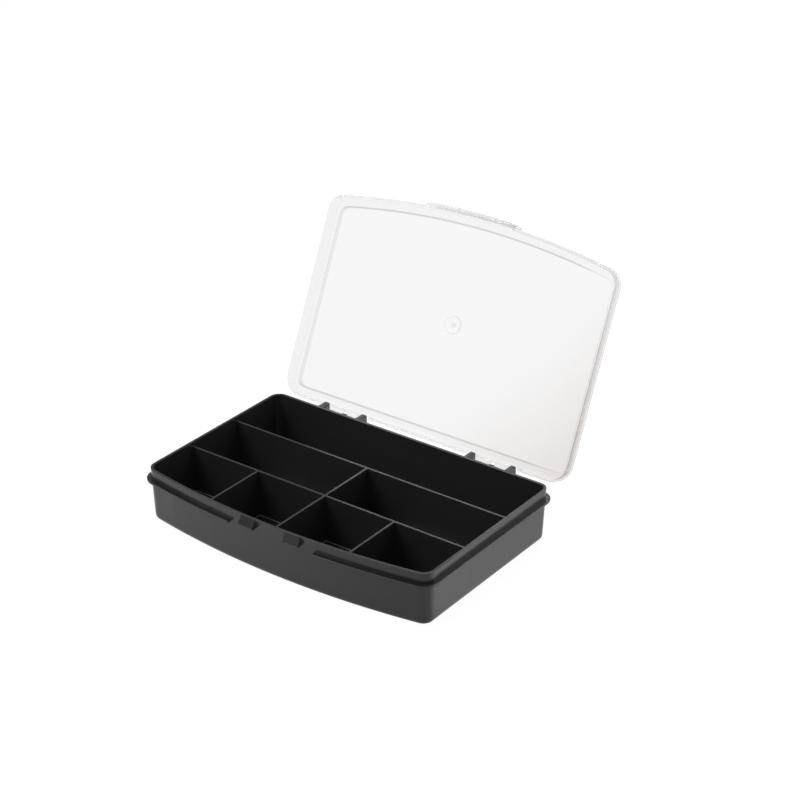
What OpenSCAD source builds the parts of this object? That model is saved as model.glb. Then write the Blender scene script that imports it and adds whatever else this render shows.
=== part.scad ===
// Compartment box for beads and small parts: a shallow tray with seven fixed compartments
// and one clear lid that snaps onto two moulded hinges at the back.
// Each moulding is one piece. The lid is drawn open, resting back on its hinge stops.
// Origin: middle of the tray's underside. X across, Y towards the hinges, Z up. Millimetres.

/* [Tray] */
// Width across the outside of the rim
tray_w = 180; // [150:1:240]
// Depth from the back of the rim to the middle of the bowed front
tray_d = 116; // [104:1:150]
// How far the middle of the front bows out past its corners
front_bow = 8.6; // [4:0.1:14]
// Height of the tray at the rim
tray_h = 30.3; // [24:0.1:45]
// Thickness of the outer walls
wall_t = 1.5; // [1.2:0.1:2.4]
// Thickness of the floor
floor_t = 1.6; // [1:0.1:3]
// Plan radius of the two front corners at the rim
front_corner_r = 7.2; // [4:0.1:12]
// Plan radius of the two back corners at the rim
back_corner_r = 6; // [4:0.1:12]
// How far the walls lean in between the rim and the base
wall_lean = 1.2; // [0:0.1:1.6]
// Radius of the edge between the walls and the underside
base_edge_r = 3; // [1:0.1:4]

/* [Flange] */
// How far the flange's top lies below the rim
flange_drop = 5.9; // [4.6:0.1:8]
// How far the flange stands out from the rim
flange_out = 2.2; // [1.4:0.1:2.6]
// Thickness of the flange
flange_t = 1; // [0.8:0.1:2]
// Width of the gap in the flange at the middle of the front
flange_gap_w = 53.6; // [50:0.1:60]

/* [Dividers] */
// Thickness of a divider at its top
divider_t = 1.2; // [0.8:0.1:2]
// How much thicker a divider is on each side at the floor
divider_foot = 0.25; // [0:0.05:0.5]
// How far the dividers' tops lie below the rim
divider_drop = 2.6; // [1.8:0.1:6]
// Clear depth of the long compartment at the back
back_row_d = 34.3; // [25:0.1:38]
// Clear depth of the two compartments in the middle row
middle_row_d = 34.7; // [25:0.1:38]
// Distance of the two short dividers from the middle of the tray
short_divider_x = 44; // [35:0.5:50]

/* [Catches] */
// Width of each wedge-shaped catch
catch_w = 9.3; // [6:0.1:14]
// Distance of each catch from the middle of the front
catch_x = 14.3; // [8:0.1:15]
// How far a catch stands out from the wall
catch_out = 2.8; // [2.4:0.1:3]
// Height of a catch, from its flat underside to the rim
catch_h = 4.8; // [4:0.1:6]
// Height of the upright face at a catch's tip
catch_tip_h = 0.8; // [0.4:0.1:1.2]

/* [Hinges] */
// Distance of each hinge from the middle of the tray
hinge_x = 48.7; // [40:0.1:56]
// Length of a hinge over the outsides of its two ears
hinge_w = 27.1; // [20:0.1:32]
// Distance of the hinge axis behind the rim
hinge_back = 6.4; // [6.2:0.1:7]
// Distance of the hinge axis below the rim
hinge_drop = 6.1; // [5.6:0.1:6.6]
// Radius of the ears round the hinge axis
ear_r = 3.3; // [2.8:0.1:4]
// Height of the ears' flat tops above the hinge axis
ear_top = 5.3; // [4.6:0.1:5.6]
// Radius between an ear's flat top and its back
ear_top_r = 2.8; // [1:0.1:3]
// Thickness of an ear
ear_t = 1.6; // [1.2:0.1:2.4]
// Radius of the hinge pins
pin_r = 1.5; // [1.2:0.05:1.6]
// Radius of the rib that carries each pin at mid length
rib_r = 2.2; // [2:0.1:2.3]
// Thickness of that rib
rib_t = 2.4; // [1.4:0.1:3]
// Outer radius of the lid's knuckles
knuckle_r = 2.8; // [2.8:0.05:3]
// Width of the mouth through which a knuckle snaps over its pin
snap_w = 2.4; // [2:0.1:2.4]
// Radial clearance between a pin and its knuckle
pin_clear = 0.05; // [0.02:0.01:0.1]
// Clearance between the lid's knuckles and the sides of the ears and ribs
side_clear = 0.4; // [0.3:0.1:0.6]
// Clearance between the lid's skirt and the outer sides of the ears
skirt_clear = 1.5; // [0.4:0.1:2]
// Gap left between the lid's heels and the flange that stops them
stop_gap = 0.3; // [0.2:0.05:0.4]
// Angle through which the lid opens
open_angle = 114.4; // [95:0.1:120]

/* [Lid] */
// How far the lid reaches past the rim at the sides and front
lid_over = 2.6; // [2.4:0.1:3]
// How far the lid reaches past the rim at the back
lid_over_back = 3.4; // [3.2:0.1:4]
// Plan radius of the lid's two front corners
lid_front_corner_r = 9.4; // [7:0.1:14]
// Plan radius of the lid's two back corners
lid_back_corner_r = 10.6; // [7:0.1:14]
// Thickness of the lid's border and panel
lid_t = 1.2; // [1:0.1:1.6]
// Thickness of the skirt round the lid
skirt_t = 1.3; // [1:0.1:1.4]
// How far the skirt leans in towards the top of the lid
skirt_lean = 0.4; // [0:0.1:0.5]
// Radius of the edge between the skirt and the top of the lid
lid_edge_r = 2.4; // [1:0.1:2.6]
// Gap between the closed lid's skirt and the flange
skirt_gap = 0.3; // [0.3:0.1:0.8]
// Gap between the closed lid's border and the rim
rim_gap = 0.4; // [0.3:0.1:0.8]
// Width of the border beside the raised panel
border_w = 3.9; // [3.8:0.1:8]
// Width of the border in front of the panel
border_front_w = 5.4; // [3.8:0.1:9]
// Width of the border behind the panel
border_back_w = 4.5; // [3.8:0.1:9]
// Plan radius of the panel's corners
panel_corner_r = 5; // [1.5:0.1:6]
// How far the panel is raised above the border
panel_rise = 0.8; // [0.4:0.1:2]
// How far the panel's side walls lean in
panel_lean = 0.2; // [0:0.1:0.6]
// Distance of the small moulding gate in front of the tray's middle
gate_front = 1.2; // [0:0.1:4]
// Radius of the moulding gate
gate_r = 1.2; // [0.8:0.1:2]
// Height of the moulding gate
gate_h = 0.4; // [0.2:0.1:0.6]

/* [Latch] */
// Width of the latch tab at the front of the lid
tab_w = 60; // [58:0.5:70]
// How far the tab's lower edge stands out from the lid's front
tab_out = 2; // [2:0.1:3]
// Thickness of the tab's lower edge
tab_t = 1.5; // [1.2:0.1:1.6]
// How much narrower the tab is at each end where it runs out into the skirt
tab_taper = 2.5; // [0:0.1:5]
// How much less the tab's ends stand out than its middle
tab_end_in = 0.8; // [0:0.1:1.2]
// Height of the upright face along the tab's lower edge
tab_land = 1.6; // [1.4:0.1:2]
// How far the tab reaches below the skirt
tab_drop = 1.2; // [1:0.1:1.6]
// Width of the room inside the tab, and of the ridge across it that hooks under the catches
room_w = 49; // [42:0.5:50]
// How far the ridge reaches under the catches
ridge_bite = 0.8; // [0.4:0.1:1]
// Gap between the closed ridge and the undersides of the catches
ridge_gap = 0.3; // [0.2:0.05:0.4]

/* [Hidden] */

tray_colour = [0.13, 0.13, 0.14];
lid_colour = [0.93, 0.93, 0.93, 0.6];

// Thickness of the slices that a leaning shell is hulled from
slice = 0.01;
// How far cuts run past a face and joined pieces run into each other
past = 1;
sink = 0.7;
corner_steps = 7;
bow_steps = 24;
edge_steps = 4;
round_fn = 64;

half_w = tray_w / 2;
back_y = tray_d / 2;
// The front of the rim is an arc of this radius about [0, bow_cy]
bow_r = (half_w * half_w + front_bow * front_bow) / (2 * front_bow);
bow_cy = bow_r - tray_d / 2;

flange_top = tray_h - flange_drop;
divider_top = tray_h - divider_drop;
rear_divider_y = back_y - wall_t - back_row_d - divider_t / 2;
front_divider_y = rear_divider_y - middle_row_d - divider_t;
catch_z = tray_h - catch_h;

hinge_y = back_y + hinge_back;
hinge_z = tray_h - hinge_drop;
// The ears' undersides run back to the wall along this slope
ear_slope = 30;

skirt_z = flange_top + skirt_gap;
border_z = tray_h + rim_gap;
lid_top = border_z + lid_t;
panel_top = lid_top + panel_rise;
// The hollow under the lid is bevelled inside the rounded edge
bevel = 1;
// With the lid open, each heel lies under the flange's back edge
heel_reach = hinge_back - stop_gap * 2;
heel_t = 1.4;
web_d = hinge_back - lid_over_back + skirt_t / 2;
web_t = 1.6;
heel_top = flange_top - flange_t - stop_gap - hinge_z;
// The room's outer face leans in with the catches, by this part of how far they stand out
room_slope = 0.7;
tab_z = skirt_z - tab_drop;
tab_in = lid_over + tab_out - tab_t;
ridge_top = catch_z - ridge_gap;
// The middle of the catches' tips, measured out from the rim
ridge_out = catch_out - ridge_bite;

// Points of an arc, leaving out as many points at each end as skip says
function arc(cx, cy, r, from, to, steps, skip = 0) =
    [for (k = [skip:steps - skip])
        let (a = from + (to - from) * k / steps) [cx + r * cos(a), cy + r * sin(a)]];

// Outline of the rim, moved out at the sides, front and back, with corner radii rf and rb
function outline(side, front, back, rf, rb) =
    let (hw = half_w + side, yb = back_y + back, r = bow_r + front,
         fx = hw - rf,
         fy = bow_cy - sqrt(pow(r - rf, 2) - fx * fx),
         fa = atan2(fy - bow_cy, fx))
    concat(arc(hw - rb, yb - rb, rb, 90, 0, corner_steps),
           arc(fx, fy, rf, 0, fa, corner_steps),
           arc(0, bow_cy, r, fa, -180 - fa, bow_steps, 1),
           arc(-fx, fy, rf, -180 - fa, -180, corner_steps),
           arc(rb - hw, yb - rb, rb, 180, 90, corner_steps));

// The tray's own outline, offset evenly
function tray_outline(out) =
    outline(out, out, out, max(front_corner_r + out, 1), max(back_corner_r + out, 1));

// The lid's outline, brought in evenly from the edge of its skirt
function lid_outline(inset) =
    outline(lid_over - inset, lid_over - inset, lid_over_back - inset,
            lid_front_corner_r - inset, lid_back_corner_r - inset);

// The raised panel's outline, brought in by inset
function panel_outline(inset) =
    outline(lid_over - border_w - inset, lid_over - border_front_w - inset,
            lid_over_back - border_back_w - inset,
            max(panel_corner_r - inset, 1), max(panel_corner_r - inset, 1));

// A band that follows the bow of the front, between two distances out from the rim
function front_band(near, far, w) =
    let (a = asin(w / 2 / bow_r))
    concat(arc(0, bow_cy, bow_r + far, -90 - a, -90 + a, bow_steps),
           arc(0, bow_cy, bow_r + near, -90 + a, -90 - a, bow_steps));

// ---------- tray ----------

module tray_shell() {
    base_in = wall_lean + base_edge_r;
    hull() {
        for (k = [0:edge_steps]) {
            a = 90 * k / edge_steps;
            translate([0, 0, base_edge_r * (1 - cos(a))])
                linear_extrude(slice)
                    polygon(tray_outline(base_edge_r * sin(a) - base_in));
        }
        translate([0, 0, tray_h - slice])
            linear_extrude(slice)
                polygon(tray_outline(0));
    }
}

module tray_hollow() {
    hull() {
        translate([0, 0, floor_t])
            linear_extrude(slice)
                polygon(tray_outline(-wall_t - wall_lean));
        translate([0, 0, tray_h])
            linear_extrude(past)
                polygon(tray_outline(-wall_t));
    }
}

// Cross-section of a divider, thicker at the floor
module divider_section(at) {
    half = divider_t / 2;
    polygon([[at - half - divider_foot, 0], [at + half + divider_foot, 0],
             [at + half, divider_top], [at - half, divider_top]]);
}

module divider_across(y) {
    translate([-half_w, 0, 0])
        rotate([90, 0, 90])
            linear_extrude(tray_w)
                divider_section(y);
}

// Runs from the front wall back to the divider at back_to
module divider_deep(x, back_to) {
    translate([0, back_to, 0])
        rotate([90, 0, 0])
            linear_extrude(back_to + tray_d / 2)
                divider_section(x);
}

module dividers() {
    divider_across(rear_divider_y);
    divider_across(front_divider_y);
    divider_deep(0, rear_divider_y);
    for (side = [-1, 1])
        divider_deep(side * short_divider_x, front_divider_y);
}

module flange() {
    translate([0, 0, flange_top - flange_t])
        linear_extrude(flange_t)
            difference() {
                polygon(tray_outline(flange_out));
                polygon(tray_outline(-sink));
                translate([-flange_gap_w / 2, -tray_d])
                    square([flange_gap_w, tray_d]);
            }
}

module catches() {
    for (side = [-1, 1])
        translate([0, bow_cy, 0])
            rotate([0, 0, side * asin(catch_x / bow_r)])
                translate([-catch_w / 2, -bow_r, 0])
                    rotate([90, 0, 90])
                        linear_extrude(catch_w)
                            polygon([[sink, catch_z], [-catch_out, catch_z],
                                     [-catch_out, catch_z + catch_tip_h],
                                     [0, tray_h - slice], [sink, tray_h - slice]]);
}

// A rounded lug round the hinge axis, with its foot on the back wall
module lug(x, r, t) {
    foot_y = -hinge_back - sink;
    tip = [r * sin(ear_slope), -r * cos(ear_slope)];
    translate([x, hinge_y, hinge_z])
        rotate([90, 0, 90])
            linear_extrude(t) {
                circle(r, $fn = round_fn);
                polygon([[foot_y, 0], [0, 0], tip,
                         [foot_y, tip[1] - (tip[0] - foot_y) * tan(ear_slope)]]);
            }
}

// An ear is a lug that stands up to a flat top
module ear(x) {
    lug(x, ear_r, ear_t);
    translate([x, hinge_y, hinge_z])
        rotate([90, 0, 90])
            linear_extrude(ear_t)
                polygon(concat([[-hinge_back - sink, -sink], [-hinge_back - sink, ear_top]],
                               arc(ear_r - ear_top_r, ear_top - ear_top_r, ear_top_r, 90, 0,
                                   corner_steps),
                               [[ear_r, 0], [0, -sink]]));
}

// The ears, the rib and the pin of one hinge, starting at its left ear
module tray_hinge(x) {
    ear(x);
    lug(x + (hinge_w - rib_t) / 2, rib_r, rib_t);
    ear(x + hinge_w - ear_t);
    translate([x, hinge_y, hinge_z])
        rotate([0, 90, 0])
            cylinder(h = hinge_w, r = pin_r, $fn = round_fn);
}

module tray() {
    color(tray_colour) {
        difference() {
            tray_shell();
            difference() {
                tray_hollow();
                dividers();
            }
        }
        flange();
        catches();
        for (side = [-1, 1])
            tray_hinge(side * hinge_x - hinge_w / 2);
    }
}

// ---------- lid, drawn closed on the tray and then opened ----------

module lid_shell() {
    top_in = skirt_lean + lid_edge_r;
    hull() {
        translate([0, 0, skirt_z])
            linear_extrude(slice)
                polygon(lid_outline(0));
        for (k = [0:edge_steps]) {
            a = 90 * k / edge_steps;
            inset = top_in - lid_edge_r * cos(a);
            translate([0, 0, lid_top - slice - lid_edge_r * (1 - sin(a))])
                linear_extrude(slice)
                    polygon(lid_outline(inset));
        }
    }
}

module lid_hollow() {
    hull() {
        translate([0, 0, skirt_z - past])
            linear_extrude(border_z - bevel - skirt_z + past)
                polygon(lid_outline(skirt_t));
        translate([0, 0, border_z - slice])
            linear_extrude(slice)
                polygon(lid_outline(skirt_t + bevel));
    }
}

// A block under the panel's outline, from z up to the panel's top or so far below it
module panel_block(z, below, inset) {
    hull() {
        translate([0, 0, z])
            linear_extrude(slice)
                polygon(panel_outline(inset));
        translate([0, 0, panel_top - below - slice])
            linear_extrude(slice)
                polygon(panel_outline(inset + panel_lean));
    }
}

// The tab flares out from the skirt to its lower edge
module latch_tab() {
    near = lid_over - skirt_t / 2;
    far = lid_over + tab_out;
    hull() {
        translate([0, 0, tab_z])
            linear_extrude(tab_land) {
                polygon(front_band(near, far, room_w));
                polygon(front_band(near, far - tab_end_in, tab_w));
            }
        translate([0, 0, border_z - slice])
            linear_extrude(slice)
                polygon(front_band(0, lid_over - skirt_t, tab_w - 2 * tab_taper));
    }
}

// What is cut out of the tab
module latch_room() {
    // Room for the catches
    hull() {
        translate([0, 0, tab_z - past])
            linear_extrude(catch_z + catch_tip_h - tab_z + past)
                polygon(front_band(0, tab_in, room_w));
        translate([0, 0, border_z - bevel - slice])
            linear_extrude(slice)
                polygon(front_band(0, tab_in - catch_out * room_slope, room_w));
    }
    // Room for the flange under the tab's ends
    translate([0, 0, tab_z - past])
        linear_extrude(skirt_z - tab_z + past)
            polygon(front_band(0, flange_out + skirt_gap, tab_w + 2 * past));
}

module latch_ridge() {
    translate([0, 0, tab_z])
        linear_extrude(ridge_top - tab_z)
            polygon(front_band(ridge_out, tab_in + tab_t / 2, room_w + past));
}

// Rooms round the two ears and the rib of the hinge that starts at x, each as far in front
// of the axis as its radius and as high above it, and open below
module lug_rooms(x, ear_room_r, rib_room_r) {
    ear_room_t = skirt_clear + ear_t + side_clear;
    for (room = [[-skirt_clear, ear_room_t, ear_room_r],
                 [(hinge_w - rib_t) / 2 - side_clear, rib_t + 2 * side_clear, rib_room_r],
                 [hinge_w - ear_t - side_clear, ear_room_t, ear_room_r]])
        translate([x + room[0], hinge_y, hinge_z]) {
            rotate([0, 90, 0])
                cylinder(h = room[1], r = room[2], $fn = round_fn);
            translate([0, -room[2], -room[2]])
                cube([room[1], room[2], 2 * room[2]]);
        }
}

// The two knuckles of the hinge that starts at x: barrels joined to the back of the skirt,
// with the heels that stop the open lid
module knuckles(x) {
    difference() {
        translate([x, hinge_y, hinge_z]) {
            rotate([0, 90, 0])
                cylinder(h = hinge_w, r = knuckle_r, $fn = round_fn);
            translate([0, -web_d, skirt_z - hinge_z])
                cube([hinge_w, web_d, web_t]);
            rotate([open_angle, 0, 0])
                translate([0, -heel_reach, heel_top - heel_t])
                    cube([hinge_w, heel_reach, heel_t]);
        }
        lug_rooms(x, heel_reach + past, heel_reach + past);
    }
}

// The bore of those knuckles, and the mouth that snaps over the pin
module knuckle_bore(x) {
    translate([x, hinge_y, hinge_z]) {
        rotate([0, 90, 0])
            cylinder(h = hinge_w, r = pin_r + pin_clear, $fn = round_fn);
        translate([0, 0, -snap_w / 2])
            cube([hinge_w, knuckle_r + past, snap_w]);
    }
}

// The cover: a hollow shell with its tab and its panel, which is raised and hollow too
module lid_cover() {
    difference() {
        union() {
            lid_shell();
            latch_tab();
            panel_block(border_z, 0, 0);
        }
        lid_hollow();
        panel_block(border_z - past, lid_t, lid_t);
        latch_room();
    }
}

module gate() {
    translate([0, -gate_front, panel_top - lid_t / 2])
        cylinder(h = lid_t / 2 + gate_h, r = gate_r, $fn = round_fn);
}

module closed_lid() {
    hinges = [for (side = [-1, 1]) side * hinge_x - hinge_w / 2];
    difference() {
        union() {
            lid_cover();
            gate();
            latch_ridge();
        }
        for (x = hinges)
            lug_rooms(x, ear_top + side_clear, rib_r + side_clear);
    }
    for (x = hinges)
        difference() {
            knuckles(x);
            knuckle_bore(x);
        }
}

module lid() {
    color(lid_colour)
        translate([0, hinge_y, hinge_z])
            rotate([-open_angle, 0, 0])
                translate([0, -hinge_y, -hinge_z])
                    closed_lid();
}

tray();
lid();
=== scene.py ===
# %% [markdown]
# # A compartment box for beads
# The object is a shallow black tray with seven compartments and a milky clear lid that
# stands open behind it. Both are single polypropylene mouldings, so nearly everything that
# tells the eye "plastic box" is in three things: the tiny rounds on every edge, the satin
# gloss of a polished mould, and a lid that lets the bright room behind it through.
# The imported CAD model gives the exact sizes. This script dresses it and lights it.

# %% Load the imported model
import math

import bmesh
import bpy
from mathutils import Matrix, Vector


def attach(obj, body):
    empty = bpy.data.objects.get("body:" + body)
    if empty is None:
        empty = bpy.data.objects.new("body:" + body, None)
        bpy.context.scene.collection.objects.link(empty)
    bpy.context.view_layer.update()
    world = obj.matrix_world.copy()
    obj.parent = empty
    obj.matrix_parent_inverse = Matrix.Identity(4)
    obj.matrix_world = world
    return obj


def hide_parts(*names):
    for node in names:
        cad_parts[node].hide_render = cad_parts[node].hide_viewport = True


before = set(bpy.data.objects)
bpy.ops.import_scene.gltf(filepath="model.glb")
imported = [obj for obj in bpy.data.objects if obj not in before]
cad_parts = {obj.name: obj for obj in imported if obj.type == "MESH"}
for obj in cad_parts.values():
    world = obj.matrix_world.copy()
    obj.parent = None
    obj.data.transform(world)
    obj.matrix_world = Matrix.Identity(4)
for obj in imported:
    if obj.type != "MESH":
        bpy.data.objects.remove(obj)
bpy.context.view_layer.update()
MM = 0.001

# %% [markdown]
# ## The camera
# The photograph was taken from the front right, a little above, with a long lens. The
# numbers come from fitting the box's corners to the picture, so the camera is placed by a
# plain rotation matrix: its columns are the picture's right, its up, and the direction back
# towards the viewer.

# %% Place the camera
CAMERA_PLACE = (0.582127, -0.743616, 0.559485)
PICTURE_RIGHT = (0.806214, 0.591623, 0.000763)
PICTURE_UP = (-0.270113, 0.366940, 0.890165)
VIEW_FORWARD = (-0.526362, 0.717870, -0.455637)
LENS_MM, SENSOR_MM = 94.83, 36.0
NEAREST, FARTHEST = 0.05, 20.0

camera_data = bpy.data.cameras.new("photo_camera")
camera_data.lens, camera_data.sensor_width = LENS_MM, SENSOR_MM
camera_data.clip_start, camera_data.clip_end = NEAREST, FARTHEST
camera = bpy.data.objects.new("photo_camera", camera_data)
axes = Matrix([PICTURE_RIGHT, PICTURE_UP, [-v for v in VIEW_FORWARD]]).transposed()
camera.matrix_world = Matrix.Translation(CAMERA_PLACE) @ axes.to_4x4()
bpy.context.scene.collection.objects.link(camera)
bpy.context.scene.camera = camera
print("camera stands", round(Vector(CAMERA_PLACE).length, 2), "m from the box")

# %% [markdown]
# ## Clean copies of the two mouldings
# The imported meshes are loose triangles, made for collision and measuring. A moulding needs
# joined faces, so that light can run smoothly over its curved walls, and a small round on
# every edge, because a mould never leaves a knife edge and it is the round that catches the
# light. So each node is copied, its doubles merged and its flat areas joined into single
# faces. A Bevel modifier then rounds the sharp edges, and its hardened normals keep the big
# flat faces flat while the rounds shade softly.

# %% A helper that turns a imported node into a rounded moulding
WELD = 0.02 * MM
FLAT_WITHIN = math.radians(0.6)
SOFT_BELOW = math.radians(30)


def rounded_moulding(node, name, edge_round, segments):
    """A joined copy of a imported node, with its edges rounded."""
    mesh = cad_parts[node].data.copy()
    mesh.name = name
    mesh.materials.clear()
    work = bmesh.new()
    work.from_mesh(mesh)
    bmesh.ops.remove_doubles(work, verts=work.verts, dist=WELD)
    bmesh.ops.dissolve_degenerate(work, edges=work.edges, dist=WELD)
    bmesh.ops.dissolve_limit(
        work, angle_limit=FLAT_WITHIN, verts=work.verts, edges=work.edges
    )
    work.to_mesh(mesh)
    work.free()
    moulding = bpy.data.objects.new(name, mesh)
    bpy.context.scene.collection.objects.link(moulding)
    bevel = moulding.modifiers.new("edge_round", "BEVEL")
    bevel.width, bevel.segments = edge_round, segments
    bevel.limit_method, bevel.angle_limit = "ANGLE", SOFT_BELOW
    bevel.harden_normals = True
    print(name, "has", len(mesh.polygons), "faces before rounding")
    return moulding


TRAY_ROUND, LID_ROUND = 0.22 * MM, 0.15 * MM
ROUND_STEPS = 2
tray = rounded_moulding("tray", "tray_moulding", TRAY_ROUND, ROUND_STEPS)
lid = rounded_moulding("lid", "lid_moulding", LID_ROUND, ROUND_STEPS)

# %% [markdown]
# ## Black polypropylene
# The tray is dyed almost black all through, so its colour hardly matters: what shows is the
# reflection of the room in a satin skin. Real mouldings aren't evenly glossy. The roughness
# wanders a little over a few centimetres, and a very fine grain from the mould breaks up the
# highlights.

# %% Mix the black plastic
DYED_BLACK = (0.025, 0.025, 0.026, 1)
BLACK_IOR = 1.6
GLOSS_WAVES, GLOSS_DETAIL = 35.0, 3.0
GLOSSIEST, DULLEST = 0.15, 0.24

black = bpy.data.materials.new("black_polypropylene")
black.use_nodes = True
nodes, links = black.node_tree.nodes, black.node_tree.links
skin = nodes["Principled BSDF"]
skin.inputs["Base Color"].default_value = DYED_BLACK
skin.inputs["IOR"].default_value = BLACK_IOR
place = nodes.new("ShaderNodeTexCoord")


def maths(operation, a, b=None):
    """A maths node fed by sockets or plain numbers."""
    node = nodes.new("ShaderNodeMath")
    node.operation = operation
    for slot, value in enumerate((a, b)):
        if value is None:
            continue
        if hasattr(value, "links"):
            links.new(value, node.inputs[slot])
        else:
            node.inputs[slot].default_value = value
    return node.outputs["Value"]


drift = nodes.new("ShaderNodeTexNoise")
drift.inputs["Scale"].default_value = GLOSS_WAVES
drift.inputs["Detail"].default_value = GLOSS_DETAIL
links.new(place.outputs["Object"], drift.inputs["Vector"])
gloss = nodes.new("ShaderNodeMapRange")
gloss.inputs["To Min"].default_value = GLOSSIEST
gloss.inputs["To Max"].default_value = DULLEST
links.new(drift.outputs["Fac"], gloss.inputs["Value"])
links.new(gloss.outputs["Result"], skin.inputs["Roughness"])

# %% [markdown]
# Where a divider meets an outer wall the plastic is thicker and cools last, so it pulls a
# faint upright hollow into the outside. These sink marks are far too shallow to model, but a
# bump that follows the dividers' places shows them in the reflections.

# %% Sink marks and mould grain
SINK_ACROSS = (21.6 * MM, -14.3 * MM)
SINK_ALONG = (0.0, 44.0 * MM)
SINK_HALF_W, SINK_DEPTH = 1.6 * MM, 0.03 * MM
SIDE_WALL_X, FRONT_WALL_Y = 88 * MM, -50 * MM
GRAIN_WAVES, GRAIN_DETAIL = 2600.0, 2.0
GRAIN_STRENGTH, GRAIN_DEPTH = 0.08, 0.05 * MM

xyz = nodes.new("ShaderNodeSeparateXYZ")
links.new(place.outputs["Object"], xyz.inputs["Vector"])
x, y, z = xyz.outputs


def hollow(distance, where):
    """1 on a divider's middle line, fading to 0 beside it, and 0 off its wall."""
    near = maths("DIVIDE", distance, SINK_HALF_W)
    dip = maths("EXPONENT", maths("MULTIPLY", maths("MULTIPLY", near, near), -1.0))
    return maths("MULTIPLY", dip, where)


on_side = maths("GREATER_THAN", maths("ABSOLUTE", x), SIDE_WALL_X)
on_front = maths("LESS_THAN", y, FRONT_WALL_Y)
hollows = [hollow(maths("SUBTRACT", y, at), on_side) for at in SINK_ACROSS]
hollows += [
    hollow(maths("SUBTRACT", maths("ABSOLUTE", x), at), on_front) for at in SINK_ALONG
]
depth = hollows[0]
for more in hollows[1:]:
    depth = maths("ADD", depth, more)
sink = nodes.new("ShaderNodeBump")
sink.invert = True
sink.inputs["Strength"].default_value = 1.0
sink.inputs["Distance"].default_value = SINK_DEPTH
links.new(depth, sink.inputs["Height"])
grain = nodes.new("ShaderNodeTexNoise")
grain.inputs["Scale"].default_value = GRAIN_WAVES
grain.inputs["Detail"].default_value = GRAIN_DETAIL
links.new(place.outputs["Object"], grain.inputs["Vector"])
bump = nodes.new("ShaderNodeBump")
bump.inputs["Strength"].default_value = GRAIN_STRENGTH
bump.inputs["Distance"].default_value = GRAIN_DEPTH
links.new(grain.outputs["Fac"], bump.inputs["Height"])
links.new(sink.outputs["Normal"], bump.inputs["Normal"])
links.new(bump.outputs["Normal"], skin.inputs["Normal"])
print(black.name, "has", len(nodes), "nodes")

# %% [markdown]
# ## Milky clear polypropylene
# Undyed polypropylene is almost water clear at this thickness, but not quite: its fine
# crystals bend stray light so little, and soften it so much, that a low refractive index is
# closer to the look than the handbook's 1.49, which draws hard black lines round every edge.
# The grey is then painted where refraction would draw dark edges: a painted shade on the
# skirt and on the thin wall round the raised panel, fainter at the right, while the border is
# a little greyer than the panel. Towards the lower right, where the black tray shades it, the
# panel is painted faintly warmer and greyer, also a painted shade.

# %% Where the lid's wall and border lie
HINGE_Y, HINGE_Z, OPEN_ANGLE = 64.4, 24.2, 114.4
HALF_W, BOW_DEPTH = 90.0, 8.6
BOW_R = (HALF_W**2 + BOW_DEPTH**2) / (2 * BOW_DEPTH)
PANEL_SIDE, PANEL_BACK, PANEL_FRONT = 88.7, 56.9, -55.2
WALL_MIDDLE, CORNER_SOFT = 0.6, 7.0

milky = bpy.data.materials.new("clear_polypropylene")
milky.use_nodes = True
nodes, links = milky.node_tree.nodes, milky.node_tree.links
place = nodes.new("ShaderNodeTexCoord")
xyz = nodes.new("ShaderNodeSeparateXYZ")
links.new(place.outputs["Object"], xyz.inputs["Vector"])
x, y, z = xyz.outputs
lean, rise = -math.cos(math.radians(OPEN_ANGLE)), math.sin(math.radians(OPEN_ANGLE))


def fade(value, start, end, low, high):
    """low before start and high past end, with a smooth change between."""
    node = nodes.new("ShaderNodeMapRange")
    node.interpolation_type = "SMOOTHSTEP"
    for name, number in (
        ("Value", value), ("From Min", start), ("From Max", end),
        ("To Min", low), ("To Max", high),
    ):
        if hasattr(number, "links"):
            links.new(number, node.inputs[name])
        else:
            node.inputs[name].default_value = number
    return node.outputs["Result"]


def softly_larger(a, b):
    """The larger of two, with a rounded change between them."""
    larger = maths("SMOOTH_MAX", a, b)
    larger.node.inputs[2].default_value = CORNER_SOFT * MM
    return larger


from_axis = maths(
    "ADD",
    maths("MULTIPLY", maths("SUBTRACT", y, HINGE_Y * MM), lean),
    maths("MULTIPLY", maths("SUBTRACT", z, HINGE_Z * MM), rise),
)
shut_y = maths("SUBTRACT", HINGE_Y * MM, from_axis)
bow = maths("MULTIPLY", maths("MULTIPLY", x, x), 1 / (2 * BOW_R * MM))
past_side = maths("SUBTRACT", maths("ABSOLUTE", x), PANEL_SIDE * MM)
past_back = maths("SUBTRACT", shut_y, PANEL_BACK * MM)
past_front = maths("SUBTRACT", maths("ADD", bow, PANEL_FRONT * MM), shut_y)
outside = softly_larger(past_side, softly_larger(past_back, past_front))

# %% Mix the clear plastic
SOFT_IOR, CLEAR_SHARE = 1.1, 0.97
MILKY, WARM_SHADE = (0.885, 0.885, 0.885, 1), (0.75, 0.702, 0.686, 1)
LID_SHADE_STARTS, LID_SHADE_FULL = -20 * MM, 100 * MM
SHADE_EDGE_WAVES, SHADE_EDGE_SHIFT, LEAN_OF_SHADE = 22.0, 20 * MM, 0.9
LINE_CORE, LINE_EDGE = 0.2 * MM, 0.7 * MM
LINE_SHADE, LINE_SHADE_RIGHT = 0.7, 0.94
RIGHT_STARTS, RIGHT_FULL = 60 * MM, 84 * MM
BORDER_GREY, BORDER_BLUR, STEEP_SHADE = 0.975, 0.2 * MM, 0.9
EDGE_ON, FACE_ON = 0.3, 0.8
STEEP_ROUGH, PANE_ROUGH = 0.45, 0.2

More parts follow.
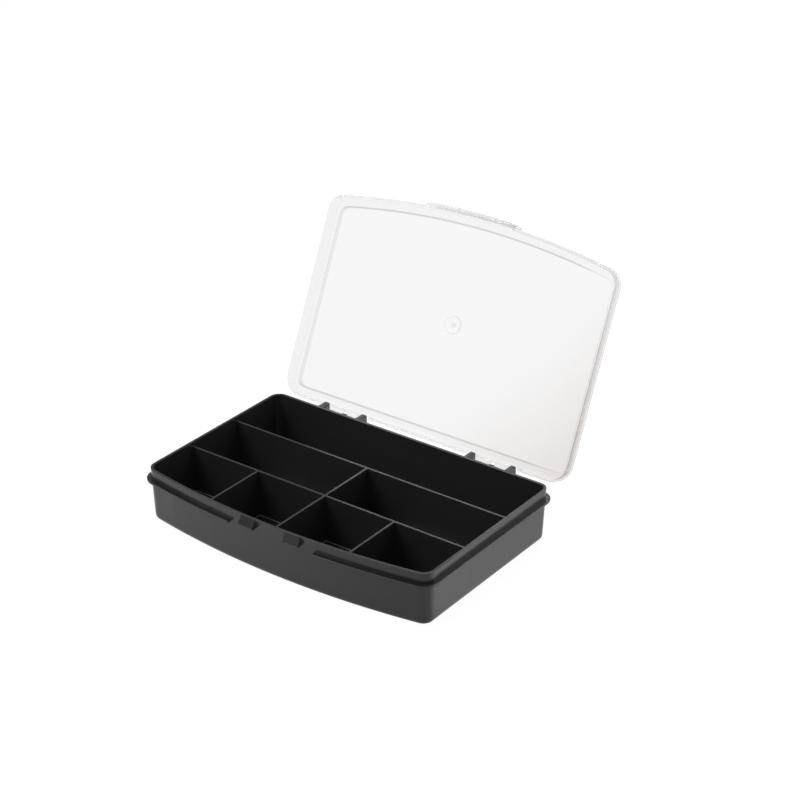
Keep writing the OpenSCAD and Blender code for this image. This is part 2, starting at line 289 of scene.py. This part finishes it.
pane = nodes["Principled BSDF"]
pane.inputs["IOR"].default_value = SOFT_IOR
pane.inputs["Transmission Weight"].default_value = CLEAR_SHARE
# Painted shade: the lid turns warmer and greyer towards its lower right, where the black tray
# shades it, and a noise makes the edge of that shade wander.
shade_edge_noise = nodes.new("ShaderNodeTexNoise")
shade_edge_noise.inputs["Scale"].default_value = SHADE_EDGE_WAVES
links.new(place.outputs["Object"], shade_edge_noise.inputs["Vector"])
wander = maths("MULTIPLY", shade_edge_noise.outputs["Fac"], SHADE_EDGE_SHIFT)
upwards = maths("MULTIPLY", z, LEAN_OF_SHADE)
toward_lid_shade = maths("ADD", maths("SUBTRACT", x, upwards), wander)
lid_shade_tint = nodes.new("ShaderNodeMix")
lid_shade_tint.data_type = "RGBA"
links.new(fade(toward_lid_shade, LID_SHADE_STARTS, LID_SHADE_FULL, 0.0, 1.0), lid_shade_tint.inputs[0])
lid_shade_tint.inputs[6].default_value, lid_shade_tint.inputs[7].default_value = MILKY, WARM_SHADE
# Painted shade: a grey line on the thin wall round the raised panel, fainter at the right,
# stands in for the dark edge that refraction would draw there.
from_wall = maths("ABSOLUTE", maths("ADD", outside, WALL_MIDDLE * MM))
line_shade_grey = fade(x, RIGHT_STARTS, RIGHT_FULL, LINE_SHADE, LINE_SHADE_RIGHT)
wall_line_shade = fade(from_wall, LINE_CORE, LINE_EDGE, line_shade_grey, 1.0)
border = fade(outside, -BORDER_BLUR, BORDER_BLUR, 1.0, BORDER_GREY)
across = nodes.new("ShaderNodeVectorMath")
across.operation = "DOT_PRODUCT"
across.inputs[1].default_value = (0, rise, -lean)
links.new(place.outputs["Normal"], across.inputs[0])
face_on = maths("ABSOLUTE", across.outputs["Value"])
# Painted shade: the steep skirt is greyed where refraction would darken it.
steep_shade = fade(face_on, EDGE_ON, FACE_ON, STEEP_SHADE, 1.0)
softer = fade(face_on, EDGE_ON, FACE_ON, STEEP_ROUGH, PANE_ROUGH)
links.new(softer, pane.inputs["Roughness"])
clearness = maths("MULTIPLY", maths("MULTIPLY", wall_line_shade, border), steep_shade)

# %% [markdown]
# The gate is where the sprue was twisted off: a small rough stub that looks grey. The
# insert's ring round it is painted grey on its right half only, a painted shade on the half
# that shows dark.

# %% Grey the gate, and paint shade on half of its ring
GATE_Y, RING_R = -1.2, 4.8
STUB_CORE, STUB_EDGE = 0.48 * MM, 1.8 * MM
STUB_GREY, RING_SHADE_GREY = 0.86, 0.93
RING_CORE, RING_EDGE = 0.2 * MM, 0.6 * MM
HALF_STARTS, HALF_FULL = -1 * MM, 2 * MM

from_gate = maths("ADD", shut_y, -GATE_Y * MM)
gate_distance = maths(
    "SQRT", maths("ADD", maths("MULTIPLY", x, x), maths("MULTIPLY", from_gate, from_gate))
)
stub = fade(gate_distance, STUB_CORE, STUB_EDGE, STUB_GREY, 1.0)
on_ring = maths("ABSOLUTE", maths("SUBTRACT", gate_distance, RING_R * MM))
# Painted shade: only the ring's right half is greyed, standing in for the dark edge that
# refraction draws there.
shaded_half = fade(x, HALF_STARTS, HALF_FULL, 1.0, RING_SHADE_GREY)
ring_shade = fade(on_ring, RING_CORE, RING_EDGE, shaded_half, 1.0)
clearness = maths("MULTIPLY", clearness, maths("MULTIPLY", stub, ring_shade))
grey = nodes.new("ShaderNodeVectorMath")
grey.operation = "SCALE"
links.new(lid_shade_tint.outputs[2], grey.inputs[0])
links.new(clearness, grey.inputs["Scale"])
links.new(grey.outputs["Vector"], pane.inputs["Base Color"])

# %% [markdown]
# A thin wall seen along its length would bend the black tray into view as dark dots, which
# milky plastic blurs away. So the steep walls mostly let light straight through, a little
# greyed, and so does the whole lid where it casts its shadow.

# %% Let light straight through steep walls and into the shadow
STRAIGHT_TINT, STRAIGHT_SHARE = (0.93, 0.93, 0.93, 1), 0.85

clear = nodes.new("ShaderNodeBsdfTransparent")
clear.inputs["Color"].default_value = STRAIGHT_TINT
ray = nodes.new("ShaderNodeLightPath")
unbent = fade(face_on, EDGE_ON, FACE_ON, STRAIGHT_SHARE, 0.0)
through = nodes.new("ShaderNodeMixShader")
links.new(maths("MAXIMUM", ray.outputs["Is Shadow Ray"], unbent), through.inputs["Fac"])
links.new(pane.outputs["BSDF"], through.inputs[1])
links.new(clear.outputs["BSDF"], through.inputs[2])
links.new(through.outputs["Shader"], nodes["Material Output"].inputs["Surface"])
print(milky.name, "has", len(nodes), "nodes")

# %% [markdown]
# ## Details that follow a path
# Three details of the mouldings run along a path with the same small section all the way,
# so each is a path of plain edges and a section swept along it by Geometry Nodes: the rounded
# edge of the flange, the fillet round the floor of each compartment, and the witness ring
# that the mould's insert leaves round the lid's gate. The paths use the CAD's own rule for
# the outline: straight sides, four corner arcs and one wide arc for the bowed front.

# %% The outline's rule
BACK_Y = 58.0
FRONT_CORNER_R, BACK_CORNER_R = 7.2, 6.0
BOW_CY = BOW_R - BACK_Y
CORNER_STEPS, BOW_STEPS = 8, 48


def arc(cx, cy, r, start, end, steps):
    """Points on an arc, in mm and degrees."""
    turns = [math.radians(start + (end - start) * k / steps) for k in range(steps + 1)]
    return [(cx + r * math.cos(a), cy + r * math.sin(a)) for a in turns]


def outline(out):
    """The rim's outline moved outwards by this many mm, from the back's middle, clockwise."""
    shaded_half, back, bow = HALF_W + out, BACK_Y + out, BOW_R + out
    rf, rb = FRONT_CORNER_R + out, BACK_CORNER_R + out
    fx = shaded_half - rf
    fy = BOW_CY - math.sqrt((bow - rf) ** 2 - fx**2)
    turn = math.degrees(math.atan2(fy - BOW_CY, fx))
    right = arc(shaded_half - rb, back - rb, rb, 90, 0, CORNER_STEPS)
    right += arc(fx, fy, rf, 0, turn, CORNER_STEPS)
    front = arc(0, BOW_CY, bow, turn, -180 - turn, BOW_STEPS)[1:-1]
    return right + front + [(-x, y) for x, y in reversed(right)]


def path_object(name, loops, closed):
    """An object of bare edges through lists of points in mm."""
    verts, edges = [], []
    for loop in loops:
        first, count = len(verts), len(loop)
        verts += [tuple(v * MM for v in point) for point in loop]
        edges += [(first + k, first + (k + 1) % count) for k in range(count - (not closed))]
    mesh = bpy.data.meshes.new(name)
    mesh.from_pydata(verts, edges, [])
    path = bpy.data.objects.new(name, mesh)
    bpy.context.scene.collection.objects.link(path)
    print(name, "has", len(loops), "path(s) and", len(verts), "points")
    return path


# %% [markdown]
# A tree is a recipe with named inputs: the path, its sizes and the plastic. One helper writes
# the recipe for a section. A second sets the inputs for one path, runs the recipe, and keeps
# only the plain mesh that it makes.

# %% A helper that writes a tree


def sweep_tree(name, sizes, make_section):
    """A tree that sweeps a section along the paths it is given."""
    tree = bpy.data.node_groups.new(name, "GeometryNodeTree")
    sockets = tree.interface
    for label, kind in {"Paths": "Geometry", **sizes, "Plastic": "Material"}.items():
        sockets.new_socket(label, in_out="INPUT", socket_type="NodeSocket" + kind)
    sockets.new_socket("Moulding", in_out="OUTPUT", socket_type="NodeSocketGeometry")
    given, result = tree.nodes.new("NodeGroupInput"), tree.nodes.new("NodeGroupOutput")

    def step(kind, **inputs):
        """A node of this kind, with its inputs linked or set by name."""
        node = tree.nodes.new(kind)
        for label, value in inputs.items():
            socket = node.inputs[label.replace("_", " ")]
            if hasattr(value, "links"):
                tree.links.new(value, socket)
            else:
                socket.default_value = value
        return node

    paths = step("GeometryNodeMeshToCurve", Mesh=given.outputs["Paths"])
    level = step("GeometryNodeSetCurveNormal", Curve=paths.outputs["Curve"])
    level.mode = "Z_UP"
    sweep = step(
        "GeometryNodeCurveToMesh",
        Curve=level.outputs["Curve"],
        Profile_Curve=make_section(step, given.outputs),
        Fill_Caps=True,
    )
    whole = step("GeometryNodeRealizeInstances", Geometry=sweep.outputs["Mesh"])
    dressed = step(
        "GeometryNodeSetMaterial",
        Geometry=whole.outputs["Geometry"],
        Material=given.outputs["Plastic"],
    )
    tree.links.new(dressed.outputs["Geometry"], result.inputs["Moulding"])
    return tree


# %% A helper that runs a tree
SAME_POINT = 0.0001 * MM


def grow(path, tree, **inputs):
    """Runs the tree on a path with these inputs and keeps the plain mesh."""
    growing = path.modifiers.new(tree.name, "NODES")
    growing.node_group = tree
    sockets = {item.name: item.identifier for item in tree.interface.items_tree}
    for label, value in inputs.items():
        growing[sockets[label]] = value
    bpy.context.view_layer.update()
    grown = path.evaluated_get(bpy.context.evaluated_depsgraph_get())
    mesh = bpy.data.meshes.new_from_object(grown)
    path.modifiers.remove(growing)
    path.data = mesh
    shell = bmesh.new()
    shell.from_mesh(mesh)
    bmesh.ops.remove_doubles(shell, verts=shell.verts, dist=SAME_POINT)
    bmesh.ops.recalc_face_normals(shell, faces=shell.faces)
    open_edges = sum(not edge.is_manifold for edge in shell.edges)
    volume = shell.calc_volume() / MM**3
    shell.to_mesh(mesh)
    shell.free()
    mesh.shade_smooth()
    print(path.name, "has", len(mesh.polygons), "faces,", open_edges, "open edges,",
          round(volume, 1), "mm3")
    return path


# %% [markdown]
# The mould parts along the flange's top outer edge, and its two halves meet in a soft roll
# there. Being round, it always has some place that mirrors a window, which draws the fine
# line that runs round the whole box. The same tree draws the ring round the lid's gate.

# %% Roll the flange's edge
FLANGE_TOP_Z, FLANGE_OUT, GAP_HALF_W = 24.4, 2.2, 26.8
ROLL_R, ROLL_PROUD, ROLL_SIDES = 0.3, 0.06, 16


def round_section(step, sizes):
    """A round section of the named radius."""
    ring = step(
        "GeometryNodeCurvePrimitiveCircle", Radius=sizes["Radius"], Resolution=sizes["Sides"]
    )
    return ring.outputs["Curve"]


bead_tree = sweep_tree("round_bead", {"Radius": "Float", "Sides": "Int"}, round_section)
roll_out = FLANGE_OUT + ROLL_PROUD - ROLL_R
around = outline(roll_out)
middle = min(range(len(around)), key=lambda k: (around[k][1], abs(around[k][0])))
turned = around[middle:] + around[:middle]
open_run = [(x, y) for x, y in turned if y > 0 or abs(x) > GAP_HALF_W]
end_y = BOW_CY - math.sqrt((BOW_R + roll_out) ** 2 - GAP_HALF_W**2)
open_run = [(-GAP_HALF_W, end_y), *open_run, (GAP_HALF_W, end_y)]
roll_path = [(x, y, FLANGE_TOP_Z + ROLL_PROUD - ROLL_R) for x, y in open_run]
flange_roll = grow(
    path_object("flange_roll", [roll_path], closed=False),
    bead_tree,
    Radius=ROLL_R * MM,
    Sides=ROLL_SIDES,
    Plastic=black,
)

# %% [markdown]
# A mould's inside corners are never sharp, since a sharp one would crack the part. The fillet
# round each compartment's floor also lets a finger slide small beads up the wall. Its section
# is a quarter arc whose middle point is pulled out into the corner.

# %% The fillet's section
FILLET_R, FILLET_STEPS = 0.4, 5
BURIED = 0.08


def fillet_section(step, sizes):
    """A quarter arc with its middle point pulled out into the corner."""
    bow = step(
        "GeometryNodeCurveArc",
        Resolution=sizes["Steps"],
        Radius=sizes["Radius"],
        Start_Angle=0.0,
        Sweep_Angle=math.pi / 2,
        Connect_Center=True,
    )
    inward = step("ShaderNodeMath", **{"Value": sizes["Radius"]})
    inward.operation = "MULTIPLY"
    inward.inputs[1].default_value = -1.0
    corner = step("ShaderNodeCombineXYZ", X=inward.outputs[0], Y=inward.outputs[0])
    placed = step(
        "GeometryNodeTransform",
        Geometry=bow.outputs["Curve"],
        Translation=corner.outputs["Vector"],
    )
    index = step("GeometryNodeInputIndex")
    centre = step("FunctionNodeCompare")
    centre.data_type, centre.operation = "INT", "EQUAL"
    tree = centre.id_data
    tree.links.new(index.outputs[0], centre.inputs[2])
    tree.links.new(sizes["Steps"], centre.inputs[3])
    sunk = step("ShaderNodeCombineXYZ", X=BURIED * MM, Y=BURIED * MM)
    pulled = step(
        "GeometryNodeSetPosition",
        Geometry=placed.outputs["Geometry"],
        Selection=centre.outputs["Result"],
        Position=sunk.outputs["Vector"],
    )
    return pulled.outputs["Geometry"]


# %% Lay out the seven floors
WALL_INSIDE = -2.7
FLOOR_Z = 1.6
DIVIDER_FOOT = 0.85
REAR_DIVIDER, FRONT_DIVIDER, SHORT_DIVIDER = 21.6, -14.3, 44.0


def cut_to(loop, axis, limit, keep_above):
    """The part of a convex loop on one side of a line."""
    side = 1 if keep_above else -1
    kept = []
    for here, after in zip(loop, loop[1:] + loop[:1]):
        a, b = side * (here[axis] - limit), side * (after[axis] - limit)
        if a >= 0:
            kept.append(here)
        if a * b < 0:
            part = a / (a - b)
            kept.append(tuple(h + (n - h) * part for h, n in zip(here, after)))
    return kept


inside = outline(WALL_INSIDE)[::-1]
foot = DIVIDER_FOOT
rooms = [(-HALF_W, HALF_W, REAR_DIVIDER + foot, BACK_Y)]
for side in (-1, 1):
    for near, far, front, back in (
        (foot, HALF_W, FRONT_DIVIDER + foot, REAR_DIVIDER - foot),
        (foot, SHORT_DIVIDER - foot, -HALF_W, FRONT_DIVIDER - foot),
        (SHORT_DIVIDER + foot, HALF_W, -HALF_W, FRONT_DIVIDER - foot),
    ):
        rooms.append((*sorted((side * near, side * far)), front, back))
loops = []
for left, right, front, back in rooms:
    loop = cut_to(cut_to(inside, 0, left, True), 0, right, False)
    loop = cut_to(cut_to(loop, 1, front, True), 1, back, False)
    loops.append([(x, y, FLOOR_Z) for x, y in loop])
print(len(loops), "floors laid out")

# %% Fillet the seven floors
fillet_tree = sweep_tree(
    "floor_fillet", {"Radius": "Float", "Steps": "Int"}, fillet_section
)
floor_fillets = grow(
    path_object("floor_fillets", loops, closed=True),
    fillet_tree,
    Radius=FILLET_R * MM,
    Steps=FILLET_STEPS,
    Plastic=black,
)

# %% [markdown]
# The lid was filled through one gate near its middle, and the round insert that carries the
# gate left a fine ring in the panel. The lid is drawn open, so the ring is laid out on the
# shut lid and turned about the hinge axis with it.

# %% Ring round the gate
PANEL_INSIDE_Z, RING_LINE_R, RING_GAP = 31.5, 0.14, 0.01
RING_STEPS, RING_SIDES = 64, 8

opened = (
    Matrix.Translation((0, HINGE_Y, HINGE_Z))
    @ Matrix.Rotation(-math.radians(OPEN_ANGLE), 4, "X")
    @ Matrix.Translation((0, -HINGE_Y, -HINGE_Z))
)
ring = [
    tuple(opened @ Vector((x, y, PANEL_INSIDE_Z - RING_LINE_R - RING_GAP)))
    for x, y in arc(0, GATE_Y, RING_R, 0, 360, RING_STEPS)[:-1]
]
gate_ring = grow(
    path_object("gate_ring", [ring], closed=True),
    bead_tree,
    Radius=RING_LINE_R * MM,
    Sides=RING_SIDES,
    Plastic=milky,
)

# %% [markdown]
# ## Which piece belongs to which body
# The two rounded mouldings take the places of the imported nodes. The three swept details are
# the same plastic as the moulding that they lie on, so they ride on its body, and the ring
# turns with the lid. All black pieces share one slot and all clear ones the other, so whoever
# wants another colour later changes it in one place.

# %% Put both plastics on
tray.data.materials.append(black)
lid.data.materials.append(milky)
for name, plastic in (("tray", black), ("lid", milky)):
    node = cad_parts[name]
    node.data.materials.clear()
    node.data.materials.append(plastic)
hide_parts("tray")
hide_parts("lid")
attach(tray, "tray")
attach(lid, "lid")
for detail in (flange_roll, floor_fillets):
    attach(detail, "tray")
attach(gate_ring, "lid")

# %% [markdown]
# ## The studio
# The box stands on white paper. Satin black plastic shows little but what it mirrors, so the
# room is built from that: low walls are dim, which keeps the flat rims and the insides dark,
# the ceiling is brighter, and two windows, behind on the right and high on the left, are
# where only rounded edges mirror them to the camera. The paper in front carries a painted
# shadow that only mirrored rays see, and farther back it is painted a little darker, so the
# front wall comes out darker than the right one. The paper and the room show plain white to
# the camera and through the lid, and the paper keeps a faint shadow. Two soft boxes, behind
# and in front, do the rest.

# %% World
world = bpy.data.worlds.new("white_room")
bpy.context.scene.world = world
world.use_nodes = True
nodes, links = world.node_tree.nodes, world.node_tree.links
LOW_WALL_LIGHT, CEILING_LIGHT, SOFT_LIGHT = 0.16, 0.6, 0.35
WALL_TOP, CEILING_START = 0.4, 0.9
WINDOWS = (((0.33, 0.72, 0.61), 1.8), ((-0.53, -0.1, 0.84), 1.2))
WINDOW_EDGE, WINDOW_FULL = 0.87, 0.95


def seen_by(*kinds):
    """1 for rays of any of these kinds, 0 for the rest."""
    ray = nodes.new("ShaderNodeLightPath")
    seen = ray.outputs[kinds[0]]
    for kind in kinds[1:]:
        seen = maths("MAXIMUM", seen, ray.outputs[kind])
    return seen


def mirrored_only():
    """1 for rays that a surface mirrored, 0 for those that came through one."""
    passed = seen_by("Is Camera Ray", "Is Transmission Ray")
    return maths("MAXIMUM", maths("SUBTRACT", seen_by("Is Glossy Ray"), passed), 0.0)


towards = nodes.new("ShaderNodeTexCoord")
height = nodes.new("ShaderNodeSeparateXYZ")
links.new(towards.outputs["Generated"], height.inputs["Vector"])
room = fade(height.outputs["Z"], WALL_TOP, CEILING_START, LOW_WALL_LIGHT, CEILING_LIGHT)
for direction, brightness in WINDOWS:
    facing = nodes.new("ShaderNodeVectorMath")
    facing.operation = "DOT_PRODUCT"
    facing.inputs[1].default_value = Vector(direction).normalized()
    links.new(towards.outputs["Generated"], facing.inputs[0])
    window = fade(facing.outputs["Value"], WINDOW_EDGE, WINDOW_FULL, 0.0, brightness)
    room = maths("ADD", room, window)
plain = seen_by("Is Camera Ray", "Is Transmission Ray")
mirrored = mirrored_only()
softly = maths("SUBTRACT", 1.0, maths("MAXIMUM", mirrored, plain))
light = maths("ADD", maths("MULTIPLY", room, mirrored), maths("MULTIPLY", softly, SOFT_LIGHT))
light = maths("ADD", light, plain)
links.new(light, nodes["Background"].inputs["Strength"])
nodes["Background"].inputs["Color"].default_value = (1, 1, 1, 1)
print(world.name, "has", len(WINDOWS), "windows")

# %% Paper floor
PAPER_SIZE = 12.0
PAPER_WHITE = (0.92, 0.92, 0.92, 1)
WHITE_SHARE = 0.93
PAPER_GLOW = 1.04
FRONT_LEFT, FRONT_RIGHT = 0.71, 0.46
LEFT_X, RIGHT_X = -120 * MM, 125 * MM
BESIDE_FRONT, BESIDE_BACK = 0.96, 0.84
MIDDLE_Y, FAR_Y = 0.0, 100 * MM
SHADE_STARTS, SHADE_ENDS = -55 * MM, -25 * MM

bpy.ops.mesh.primitive_plane_add(size=PAPER_SIZE)
floor = bpy.context.object
floor.name = "floor"
paper = bpy.data.materials.new("white_paper")
paper.use_nodes = True
nodes, links = paper.node_tree.nodes, paper.node_tree.links
nodes.remove(nodes["Principled BSDF"])
matt = nodes.new("ShaderNodeBsdfDiffuse")
matt.inputs["Color"].default_value = PAPER_WHITE
place = nodes.new("ShaderNodeTexCoord")
xyz = nodes.new("ShaderNodeSeparateXYZ")
links.new(place.outputs["Object"], xyz.inputs["Vector"])
# Painted shadow: for mirrored rays only, the paper is dimmed in front of the box, more at the
# right, and a little farther back beside it.
painted_front_shadow = fade(xyz.outputs["X"], LEFT_X, RIGHT_X, FRONT_LEFT, FRONT_RIGHT)
painted_side_shade = fade(xyz.outputs["Y"], MIDDLE_Y, FAR_Y, BESIDE_FRONT, BESIDE_BACK)
shade = fade(xyz.outputs["Y"], SHADE_STARTS, SHADE_ENDS, painted_front_shadow, painted_side_shade)
dimming = maths("MULTIPLY", mirrored_only(), maths("SUBTRACT", 1.0, shade))
dimmed = maths("SUBTRACT", 1.0, dimming)
glow = nodes.new("ShaderNodeEmission")
links.new(maths("MULTIPLY", dimmed, PAPER_GLOW), glow.inputs["Strength"])
plain = seen_by("Is Camera Ray", "Is Transmission Ray", "Is Glossy Ray")
sheet = nodes.new("ShaderNodeMixShader")
links.new(maths("MULTIPLY", plain, WHITE_SHARE), sheet.inputs["Fac"])
links.new(matt.outputs["BSDF"], sheet.inputs[1])
links.new(glow.outputs["Emission"], sheet.inputs[2])
links.new(sheet.outputs["Shader"], nodes["Material Output"].inputs["Surface"])
floor.data.materials.append(paper)
print(floor.name, "is", PAPER_SIZE, "m wide")

# %% Lamps


def soft_box(name, place, size, watts):
    """A flat lamp of this width and height at place that shines towards the box."""
    data = bpy.data.lights.new(name, "AREA")
    data.shape, data.energy = "RECTANGLE", watts
    data.size, data.size_y = size
    lamp = bpy.data.objects.new(name, data)
    lamp.visible_transmission = False
    lamp.matrix_world = Matrix.Translation(place) @ (
        Vector(place).to_track_quat("Z", "Y").to_matrix().to_4x4()
    )
    bpy.context.scene.collection.objects.link(lamp)
    print(name, "shines from", round(Vector(place).length, 2), "m")


soft_box("above_behind", place=(-0.2, 0.6, 1.05), size=(1.0, 0.5), watts=11.0)
soft_box("above_front", place=(-0.65, -0.7, 1.1), size=(0.7, 0.7), watts=7.0)

# %% [markdown]
# ## The finish
# The Standard view keeps the paper plain white, as in the photograph.

# %% Picture settings
bpy.context.scene.view_settings.view_transform = "Standard"
